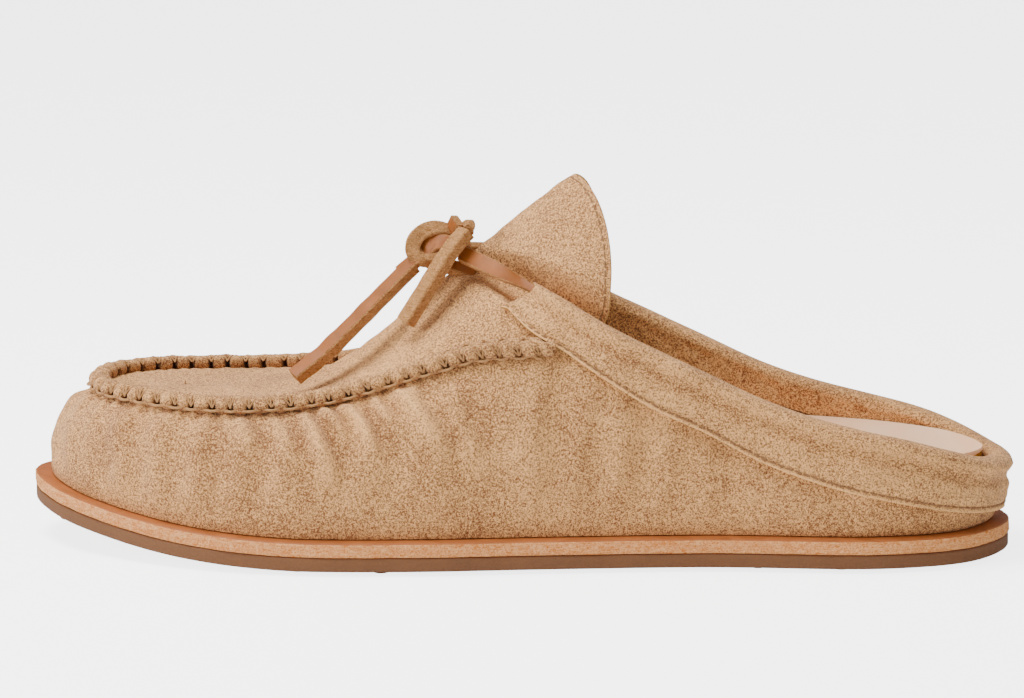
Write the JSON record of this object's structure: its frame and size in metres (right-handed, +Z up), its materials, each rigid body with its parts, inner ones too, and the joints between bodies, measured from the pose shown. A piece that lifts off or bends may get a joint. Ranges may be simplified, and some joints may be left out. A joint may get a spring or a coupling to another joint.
{
  "type": "slip-on moccasin",
  "caption": "Backless suede moccasin with a stitched apron, fold-up tongue, laced collar band and studded rubber sole on a leather midsole.",
  "frame": {"origin": "on the ground under the middle of the shoe", "axes": "+Z up, +X along the shoe towards the heel, -Y towards the outer side of the foot"},
  "size_m": [0.2896, 0.1, 0.1102],
  "materials": {
    "gum_rubber": "brown gum rubber, matt",
    "edge_leather": "vegetable-tanned leather, raw edge",
    "cork": "bonded cork",
    "steel": "spring steel",
    "fibre_board": "cellulose board",
    "footbed_leather": "smooth undyed leather",
    "suede": "brushed suede",
    "lining_leather": "smooth thin leather",
    "lining_suede": "flesh side of suede",
    "stiffener": "stiffened non-woven",
    "thread": "waxed thread",
    "lace_leather": "rawhide, smooth grain side"
  },
  "bodies": {
    "shoe": {"outsole": "gum_rubber", "midsole": "edge_leather", "bottom_filler": "cork", "shank": "steel", "insole_board": "fibre_board", "footbed": "cork", "footbed_sock": "footbed_leather", "vamp": "suede", "quarter_lateral": "suede", "quarter_medial": "suede", "vamp_lining": "lining_leather", "quarter_lining": "lining_suede", "toe_puff": "stiffener", "heel_counter": "stiffener", "apron": "suede", "apron_lining": "lining_leather", "collar_band": "suede", "moc_seam_cord": "suede", "collar_stitching": "thread", "lace": "lace_leather", "lace_knot": "lace_leather", "lace_tail_long": "lace_leather", "lace_tail_short": "lace_leather"},
    "tongue_flap": {"tongue": "suede", "tongue_lining": "lining_suede", "tongue_stitching": "thread"}
  },
  "joints": [
    {"name": "tongue_fold", "type": "hinge", "parent": "shoe", "child": "tongue_flap", "pos_m": [-0.01194, 0.00282, 0.08773], "axis": [0, -1, 0], "range_deg": [-2, 25], "stiffness_Nm_per_rad": 0.02}
  ]
}
